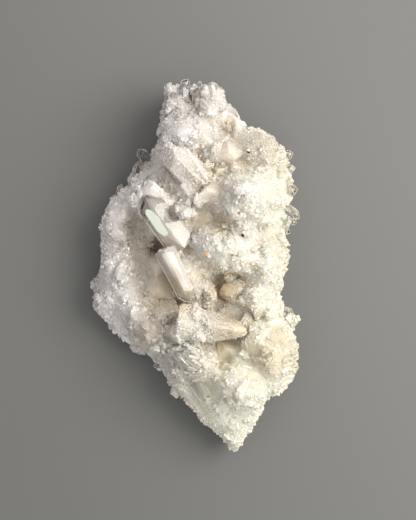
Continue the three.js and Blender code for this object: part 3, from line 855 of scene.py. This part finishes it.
def stain_and_shade_over(piece):
    """Gives a piece its stain and painted shade, and its greyness, at each corner's place, as attributes.
    """
    places = corner_places(piece)[0]
    shut = np.array([skin_shut[skin_tree.find(place)[1]] for place in places])
    settled_and_shaded = strongest(np.full(len(places), OPEN_STAIN_AND_SHADE), places, STAINS_AND_SHADE, *STAIN_AND_SHADE_FADE)
    # Painted shade in part: the more shut in a corner is, the darker and browner its colour.
    stain_and_shade = settled_and_shaded * np.clip((shut - SHUT_LEAST) / SHUT_RANGE, 0, 1)
    stain_and_shade = strongest(stain_and_shade, places, TINTS_AND_SHADE, *TINT_AND_SHADE_FADE)
    grey_and_shade = strongest(np.zeros(len(places)), places, GREY_AND_SHADE_SPOTS, *GREY_AND_SHADE_FADE)
    for name, values in (("stain_and_shade", stain_and_shade), ("grey_and_shade", grey_and_shade)):
        layer = piece.data.attributes.new(name, "FLOAT", "POINT")
        layer.data.foreach_set("value", values.astype(np.float32))


def quartz_tones():
    """The shader group for the colour of the quartz: cool and darker on one side and cream on the other,
    partly painted shade and light; stained and painted with shade in hollows; pale painted highlights on
    edges.
    """
    group = bpy.data.node_groups.new("quartz_tones", "ShaderNodeTree")
    group.interface.new_socket("Rim highlights", in_out="INPUT", socket_type="NodeSocketFloat")
    group.interface.new_socket("Veils", in_out="INPUT", socket_type="NodeSocketFloat")
    group.interface.new_socket("Colour", in_out="OUTPUT", socket_type="NodeSocketColor")
    group.interface.new_socket("Clouds", in_out="OUTPUT", socket_type="NodeSocketFloat")

    def add(kind, inputs=None, **settings):
        return add_node(group, "ShaderNode" + kind, inputs, **settings)

    def ranged(limits):
        return {"From Min": limits[0], "From Max": limits[1]}

    place = add("TexCoord")
    wander = add("TexNoise", {"Scale": WANDER_SCALE, "Detail": WANDER_DETAIL})
    axes = add("SeparateXYZ")
    # Painted light and shade in part: the tone runs from cool and darker on the left, away from the window,
    # to cream on the lit right.
    across = add("Math", {1: TONE_SLANT}, operation="MULTIPLY_ADD")
    along = add("Math", {1: TONE_WANDER}, operation="MULTIPLY_ADD")
    warm_lit_side = add("MapRange", ranged(TONE_RANGE), interpolation_type="SMOOTHSTEP")
    tone = add("Mix", {"A": COOL_SHADED_TONE, "B": CREAM_LIT_TONE}, data_type="RGBA")
    clouds = add("TexNoise", {"Scale": CLOUD_SCALE, "Detail": CLOUD_DETAIL})
    stain_and_shade = add("Attribute", attribute_name="stain_and_shade")
    patchy = add("Math", {1: PATCH_SWING, 2: PATCH_LEAST}, operation="MULTIPLY_ADD")
    amount = add("Math", operation="MULTIPLY", use_clamp=True)
    # The ramp from no stain to tan and rust carries both stain and painted shade.
    ramp = add("ValToRGB")
    set_ramp(ramp, (0.0, NO_STAIN), (1.0, RUST_STAIN_AND_SHADE), (TAN_LEVEL, TAN_STAIN_AND_SHADE))
    stained_and_shaded = add("Mix", {"Factor": 1.0}, data_type="RGBA", blend_type="MULTIPLY")
    # The grey patches darken the colour, in part as painted shade.
    grey_and_shade = add("Attribute", attribute_name="grey_and_shade")
    patches = add("Math", operation="MULTIPLY", use_clamp=True)
    greyed_and_shaded = add("Mix", {"B": GREY_SHADE_TONE}, data_type="RGBA", blend_type="MULTIPLY")
    # Painted highlight: the convex edges of the crystals are painted pale, where light would catch them;
    # creases are left out.
    rounded = add("Bevel", {"Radius": RIM_WIDTH}, samples=RIM_SAMPLES)
    straight = add("NewGeometry")
    turned = add("VectorMath", operation="DOT_PRODUCT")
    rim_highlight_mask = add("MapRange", ranged(RIM_RANGE))
    creases = add("AmbientOcclusion", {"Distance": CREASE_REACH}, samples=CREASE_SAMPLES)
    open_rim_highlight = add("Math", operation="MULTIPLY")
    pale_rim_highlight = add("Math", operation="MULTIPLY")
    given = add_node(group, "NodeGroupInput")
    bent = add("VectorMath", {1: (VEIL_BEND, VEIL_BEND, VEIL_BEND)}, operation="MULTIPLY_ADD")
    cracks = add("TexVoronoi", {"Scale": VEIL_SCALE}, feature="DISTANCE_TO_EDGE")
    veil = add("MapRange", ranged((VEIL_WIDTH, 0)))
    broken = add("MapRange", ranged(VEIL_BREAKS))
    part_veil = add("Math", operation="MULTIPLY")
    pale_veil = add("Math", operation="MULTIPLY")
    paler = add("Math", operation="MAXIMUM")
    lit = add("Mix", {"B": RIM_HIGHLIGHT_TONE}, data_type="RGBA")
    out = add_node(group, "NodeGroupOutput")
    link_nodes(
        group,
        (rounded, "Normal", turned, 0),
        (straight, "Normal", turned, 1),
        (turned, "Value", rim_highlight_mask, "Value"),
        (rim_highlight_mask, "Result", open_rim_highlight, 0),
        (creases, "AO", open_rim_highlight, 1),
        (open_rim_highlight, "Value", pale_rim_highlight, 0),
        (given, "Rim highlights", pale_rim_highlight, 1),
        (place, "Object", bent, 2),
        (clouds, "Color", bent, 0),
        (bent, "Vector", cracks, "Vector"),
        (cracks, "Distance", veil, "Value"),
        (clouds, "Fac", broken, "Value"),
        (veil, "Result", part_veil, 0),
        (broken, "Result", part_veil, 1),
        (part_veil, "Value", pale_veil, 0),
        (given, "Veils", pale_veil, 1),
        (pale_rim_highlight, "Value", paler, 0),
        (pale_veil, "Value", paler, 1),
        (paler, "Value", lit, "Factor"),
        (grey_and_shade, "Fac", patches, 0),
        (patchy, "Value", patches, 1),
        (patches, "Value", greyed_and_shaded, "Factor"),
        (stained_and_shaded, "Result", greyed_and_shaded, "A"),
        (greyed_and_shaded, "Result", lit, "A"),
        (place, "Object", wander, "Vector"),
        (place, "Object", clouds, "Vector"),
        (place, "Object", axes, "Vector"),
        (axes, "Y", across, 0),
        (axes, "X", across, 2),
        (wander, "Fac", along, 0),
        (across, "Value", along, 2),
        (along, "Value", warm_lit_side, "Value"),
        (warm_lit_side, "Result", tone, "Factor"),
        (clouds, "Fac", patchy, 0),
        (patchy, "Value", amount, 0),
        (stain_and_shade, "Fac", amount, 1),
        (amount, "Value", ramp, "Fac"),
        (tone, "Result", stained_and_shaded, "A"),
        (ramp, "Color", stained_and_shaded, "B"),
        (lit, "Result", out, "Colour"),
        (clouds, "Fac", out, "Clouds"),
    )
    return group


tones = quartz_tones()


def quartz_finish(name, roughness, rim_highlights, veils, constants):
    """A material with the quartz's tones on its colour, its clouds on its roughness and constants."""
    finish = bpy.data.materials.new(name)
    finish.use_nodes = True
    tree = finish.node_tree
    shade = add_node(tree, "ShaderNodeGroup", {"Rim highlights": rim_highlights, "Veils": veils}, node_tree=tones)
    dull = add_node(tree, "ShaderNodeMapRange", {"To Min": roughness[0], "To Max": roughness[1]})
    surface = tree.nodes["Principled BSDF"]
    surface.inputs["IOR"].default_value = QUARTZ_IOR
    for entry, value in constants.items():
        surface.inputs[entry].default_value = value
    link_nodes(
        tree,
        (shade, "Colour", surface, "Base Color"),
        (shade, "Clouds", dull, "Value"),
        (dull, "Result", surface, "Roughness"),
    )
    return finish


scattering = {
    "Subsurface Weight": 1.0,
    "Subsurface Radius": (1.0, 0.85, 0.7),
    "Subsurface Scale": 2 * MM,
}
stain_and_shade_over(coat)
clouded = {"Transmission Weight": 0.3, **scattering}
coat_finish = quartz_finish("clouded_quartz", (0.03, 0.22), rim_highlights=1, veils=0.7, constants=clouded)
coat.data.materials.append(coat_finish)
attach(coat, "root")
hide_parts("quartz_cluster")

# The core: the milky inside of the mass, which shows through the coat. It has grown as one with it
# and lies a little under its surface, deeper in some places than in others.
CORE_DEPTH = 0.5
CORE_DEPTH_SWING = 1.2
CORE_PATCHES = (7 * MM, (0, 5, 0))
CORE_LOWEST = 0.3 * MM
CORE_SOFTENING = 4
core = skin
core.name = "milky_core"
places, normals = corner_places(core)
depth = (CORE_DEPTH + CORE_DEPTH_SWING * slow_noise(places, *CORE_PATCHES)) * MM
inner = places - normals * depth[:, None]
inner[:, 2] = np.maximum(inner[:, 2], CORE_LOWEST)
core.data.vertices.foreach_set("co", inner.ravel())
softened(core, CORE_SOFTENING)
stain_and_shade_over(core)
choose(core)
bpy.ops.object.shade_smooth()
milky = {"Specular IOR Level": 0.0, **scattering}
core_finish = quartz_finish("milky_quartz", (0.4, 0.6), rim_highlights=0, veils=0, constants=milky)
core.data.materials.append(core_finish)
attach(core, "root")

# The glassy blades: thin crystals that lie side by side on the coat along the right edge and point out
# past it. They are clearer than the coat that they have grown on.
BLADES = (  # middle, reach, way, radius, length
    ((29.5, 28), 5, (1, 0.1, 0.15), 1, 4),
    ((29.5, 3), 5, (1, 0, 0.2), 0.9, 3.5),
    ((31, -27), 5, (1, -0.2, 0.2), 0.9, 3),
)
coat_spots = surface_spots(coat, LAID_TRIES)
blades = gathered([
    laid_crystals(coat_spots, middle, reach, radius, length, way=way)
    for middle, reach, way, radius, length in BLADES
])
blade_piece = crystal_mesh("glassy_blades", blades, forms)
half_clear = {"Transmission Weight": 0.5}
blade_finish = quartz_finish("glassy_quartz", (0.02, 0.1), rim_highlights=0.8, veils=0.4, constants=half_clear)
blade_piece.data.materials.append(blade_finish)
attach(blade_piece, "root")

# The druse: small points that stand close together over most of the coat, as sugar does, coarser on
# the great dome and on the walls and finer at the tip. Each grows from the coat, and most of it is
# sunk in it.
GRAIN_SIZES = (  # middle, reach, how much coarser
    ((11, -47), 12, 0.75),
    ((9, -17.5), 6, 0.6),
    ((13, -38), 8, 0.8),
    ((16.3, 20), 8, 1.5),
    ((24, -25), 9, 1.25),
    ((-3, 30), 7, 0.75),
    ((-14.5, 21), 5, 0.7),
)
GRAIN = 0.53 * MM
GRAIN_TRIES = 140000
GRAIN_PATCHES = (5 * MM, (4, 4, 4))
GRAIN_LEAST = 0.6
GRAIN_SWING = 0.8
GRAIN_SPREAD = (0.7, 1.15)
GRAIN_FADE = 2
GRAIN_ORDER = (0.6, 1)  # larger grains come first, but not strictly
GRAIN_LIE = 0.35
GRAIN_JITTER = 0.3
GRAIN_RISE = (0.15, 0.55)
GRAIN_FLATNESS = (0.6, 1)
SOWN_PATCHES = (6 * MM, (1.2, 8.5, 3))
SOWN_LEVEL = 7
SOWN_SLOPE = 9
SOWN_LEAST = 0.75
WALL_SLOPE = 2.2
WALL_GRAIN = 1.2
WALL_RISE = 0.25
CLOSENESS = 0.56
DRUSE_PIECES = 4


def within(spots, crystals):
    """Which spots lie inside one of the crystals."""
    inside = np.zeros(len(spots), bool)
    for tip, axis, radius, length in zip(crystals.tips, crystals.axes, crystals.radii, crystals.lengths):
        along = (spots - tip) @ axis
        away = np.linalg.norm(spots - tip - along[:, None] * axis, axis=1)
        inside |= (away < radius) & (along < 0) & (along > -length)
    return inside


def druse_grains(piece):
    """The small crystals that are packed over a piece."""
    spots, outs = surface_spots(piece, GRAIN_TRIES)
    ways = growth[[skin_tree.find(spot)[1] for spot in spots]]
    sown = np.clip(SOWN_LEVEL - SOWN_SLOPE * slow_noise(spots, *SOWN_PATCHES), SOWN_LEAST, 1)
    shown = (spots[:, 2] > UNDERSIDE) & ~on_smooth(spots) & ~within(spots, glassy)
    shown &= rng.random(GRAIN_TRIES) < sown
    spots, outs, ways = spots[shown], outs[shown], ways[shown]
    radii = GRAIN * (GRAIN_LEAST + GRAIN_SWING * slow_noise(spots, *GRAIN_PATCHES))
    radii *= rng.uniform(*GRAIN_SPREAD, len(spots))
    for middle, reach, coarser in GRAIN_SIZES:
        nearness = np.clip(GRAIN_FADE - GRAIN_FADE * away_from(spots, middle, reach), 0, 1)
        radii *= 1 + (coarser - 1) * nearness
    wall = np.clip(1 - WALL_SLOPE * np.abs(unit(ways)[:, 2]), 0, 1)
    radii *= 1 + WALL_GRAIN * wall * rng.random(len(radii))
    order = np.argsort(-radii * rng.uniform(*GRAIN_ORDER, len(radii)))
    kept = order[spaced(spots[order], radii[order], CLOSENESS)]
    spots, outs, ways, radii = spots[kept], outs[kept], ways[kept], radii[kept]
    axes = grown_ways(spots, outs, ways, GRAIN_LIE, GRAIN_JITTER)
    height = radii * (rng.uniform(*GRAIN_RISE, len(radii)) + WALL_RISE * wall[kept])
    flats = rng.uniform(*GRAIN_FLATNESS, len(radii))
    spins = rng.uniform(0, math.tau, len(radii))
    cuts = rng.integers(FORMS, size=len(radii))
    return Crystals(spots + axes * height[:, None], axes, radii, height + radii, flats, spins, cuts)


grains = druse_grains(coat)
sugary = {"Transmission Weight": 0.33}
druse_finish = quartz_finish("druse_quartz", (0.02, 0.14), rim_highlights=0.9, veils=0.3, constants=sugary)
shares = [i / DRUSE_PIECES for i in range(1, DRUSE_PIECES)]
strips = np.digitize(grains.tips[:, 1], np.quantile(grains.tips[:, 1], shares))
druse = []
for strip in range(DRUSE_PIECES):
    sugar = crystal_mesh(f"druse_{strip + 1}", picked(grains, strips == strip), grain_forms)
    stain_and_shade_over(sugar)
    sugar.data.materials.append(druse_finish)
    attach(sugar, "root")
    druse.append(sugar)

# The clear points: water-clear quartz that stands out of the coat at the edges and at the crown, and lies
# round the clouded hearts of the largest crystals. All of it has grown from the mass.
CLEAR_ROUGHNESS = 0.02
CLEAR_COLOUR = (0.99, 0.985, 0.98, 1)
CLEAR_INSIDE = (0.93, 0.9, 0.94, 1)
CLEAR_DENSITY = 25


def clear_finish(name, colour, transmission):
    """Water-clear quartz that takes a little light away inside."""
    finish = bpy.data.materials.new(name)
    finish.use_nodes = True
    tree = finish.node_tree
    glass = tree.nodes["Principled BSDF"]
    glass.inputs["Base Color"].default_value = colour
    glass.inputs["Roughness"].default_value = CLEAR_ROUGHNESS
    glass.inputs["IOR"].default_value = QUARTZ_IOR
    glass.inputs["Transmission Weight"].default_value = transmission
    inside = add_node(tree, "ShaderNodeVolumeAbsorption", {"Color": CLEAR_INSIDE, "Density": CLEAR_DENSITY})
    link_nodes(tree, (inside, "Volume", tree.nodes["Material Output"], "Volume"))
    return finish


points = crystal_mesh("clear_points", gathered([clear_points, glassy]), forms)
points.data.materials.append(clear_finish("clear_quartz", CLEAR_COLOUR, 1.0))
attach(points, "root")

# The pale green face of the leaning prism: one long face of that crystal shows a faint green sheen, painted
# here as a pale green, a little milky colour. It is a thin plate of quartz that lies on the face.
GREEN_OUTLINE = (  # along, across
    (5, 0.2), (4, 1.2), (-2.4, 1.7), (-5, 0.8), (-4.4, -0.8), (1.2, -1.5), (4.2, -0.8)
)
GREEN_DEPTH = 0.12
GREEN_MIDDLE = Vector((-10.9, 13.3, 30))
# The green sheen of the face, painted as colour, with painted streaks of it.
GREEN_SHEEN_COLOUR = (0.9, 0.985, 0.83, 1)
GREEN_TRANSMISSION = 0.3
STREAK_SCALE = 420
STREAK_DETAIL = 4
SHEEN_STREAK_STOPS = ((0.36, (0.78, 0.92, 0.66, 1)), (0.6, (1, 1, 0.97, 1)))

points_tree = BVHTree.FromObject(points, bpy.context.evaluated_depsgraph_get())
middle, outward = points_tree.find_nearest(GREEN_MIDDLE * MM)[:2]
along = Vector(glassy.axes[0])
along -= outward * along.dot(outward)
across = outward.cross(along.normalized())
bpy.ops.object.select_all(action="DESELECT")
bpy.ops.mesh.primitive_circle_add(
    vertices=len(GREEN_OUTLINE), radius=1, fill_type="NGON", location=(0, 0, 0)
)
lens_face = bpy.context.object
lens_face.name = "green_face"
for corner, (lengthwise, sideways) in zip(lens_face.data.vertices, GREEN_OUTLINE):
    corner.co = middle + (along.normalized() * lengthwise + across * sideways) * MM
bpy.ops.object.mode_set(mode="EDIT")
bpy.ops.mesh.select_all(action="SELECT")
bpy.ops.mesh.extrude_region_move(TRANSFORM_OT_translate={"value": outward * GREEN_DEPTH * MM})
bpy.ops.mesh.select_all(action="SELECT")
bpy.ops.mesh.normals_make_consistent(inside=False)
bpy.ops.object.mode_set(mode="OBJECT")
green_sheen_quartz = clear_finish("green_sheen_quartz", GREEN_SHEEN_COLOUR, GREEN_TRANSMISSION)
tree = green_sheen_quartz.node_tree
streaks = add_node(tree, "ShaderNodeTexNoise", {"Scale": STREAK_SCALE, "Detail": STREAK_DETAIL})
hues = add_node(tree, "ShaderNodeValToRGB")
set_ramp(hues, *SHEEN_STREAK_STOPS)
link_nodes(
    tree,
    (streaks, "Fac", hues, "Fac"),
    (hues, "Color", tree.nodes["Principled BSDF"], "Base Color"),
)
lens_face.data.materials.append(green_sheen_quartz)
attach(lens_face, "root")

# The frosted edges of the clear points: the edges between their faces are worn and catch the light, so
# each has a thin bar of pale quartz along it, partly frosted quartz and partly a painted highlight.
EDGE_WIDTH = 0.12 * MM
EDGE_ANGLE = 2  # faces that meet at less than this have no edge between them
edges = copy_of(points, "frosted_highlight_edges")
choose(edges)
bpy.ops.object.mode_set(mode="EDIT")
bpy.ops.mesh.select_all(action="SELECT")
bpy.ops.mesh.dissolve_limited(angle_limit=math.radians(EDGE_ANGLE))
bpy.ops.object.mode_set(mode="OBJECT")
shape_by(edges, "WIREFRAME", thickness=EDGE_WIDTH, use_even_offset=False)
frosted_highlight = {"Transmission Weight": 0.3}
edge_finish = quartz_finish("frosted_highlight_quartz", (0.1, 0.3), rim_highlights=0, veils=0, constants=frosted_highlight)
edges.data.materials.append(edge_finish)
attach(edges, "root")

# The specks: small grains of rust and dark iron that sit on the coat and in the druse, each an uneven,
# flattened lump. A ray from the camera finds the spot where each lies.
SPECKS = (  # place, radius, colour
    ((16, 34.5), 0.5, 0),
    ((14.3, 9.6), 0.6, 0),
    ((13, 16.2), 0.45, 1),
    ((3.4, 3.6), 0.45, 2),
    ((-14.8, 15.6), 0.4, 1),
)
SPECK_COLOURS = ((0.012, 0.01, 0.009, 1), (0.2, 0.11, 0.05, 1), (0.5, 0.2, 0.04, 1))
SPECK_FINENESS = 2
SPECK_AIM = 12  # the level at which the places are given
SPECK_LUMP = 0.35
SPECK_LUMP_SIZE = 0.4 * MM
SPECK_FLATNESS = 0.6
SPECK_ROUGHNESS = 0.5
MOTTLE_SCALE = 3000
MOTTLE_PALER = 2.2
rusts = []
for number, colour in enumerate(SPECK_COLOURS):
    rust = bpy.data.materials.new(f"speck_{number}")
    rust.use_nodes = True
    tree = rust.node_tree
    surface = tree.nodes["Principled BSDF"]
    surface.inputs["Roughness"].default_value = SPECK_ROUGHNESS
    mottle = add_node(tree, "ShaderNodeTexNoise", {"Scale": MOTTLE_SCALE})
    shades = add_node(tree, "ShaderNodeValToRGB")
    set_ramp(shades, (0.0, colour), (1.0, [value * MOTTLE_PALER for value in colour[:3]] + [1]))
    link_nodes(tree, (mottle, "Fac", shades, "Fac"), (shades, "Color", surface, "Base Color"))
    rusts.append(rust)
trees = [BVHTree.FromObject(piece, bpy.context.evaluated_depsgraph_get()) for piece in (coat, *druse)]
lens = Vector((*CAMERA_PLACE, SHARP_LEVEL + CAMERA_DISTANCE))
for i, (place, radius, colour) in enumerate(SPECKS):
    sight = Vector((*place, SPECK_AIM)) * MM - lens
    hits = [tree.ray_cast(lens, sight)[0] for tree in trees]
    top = max((hit for hit in hits if hit), key=lambda hit: hit.z)
    bpy.ops.object.select_all(action="DESELECT")
    bpy.ops.mesh.primitive_ico_sphere_add(
        subdivisions=SPECK_FINENESS, radius=radius * MM, location=(0, 0, 0)
    )
    speck = bpy.context.object
    speck.name = f"speck_{i}"
    for corner in speck.data.vertices:
        corner.co *= 1 + SPECK_LUMP * noise.noise(corner.co / SPECK_LUMP_SIZE + Vector(top) / MM)
        corner.co.z *= SPECK_FLATNESS
    speck.location = top
    bpy.ops.object.transform_apply(location=True, rotation=True, scale=True)
    speck.data.materials.append(rusts[colour])
    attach(speck, "root")
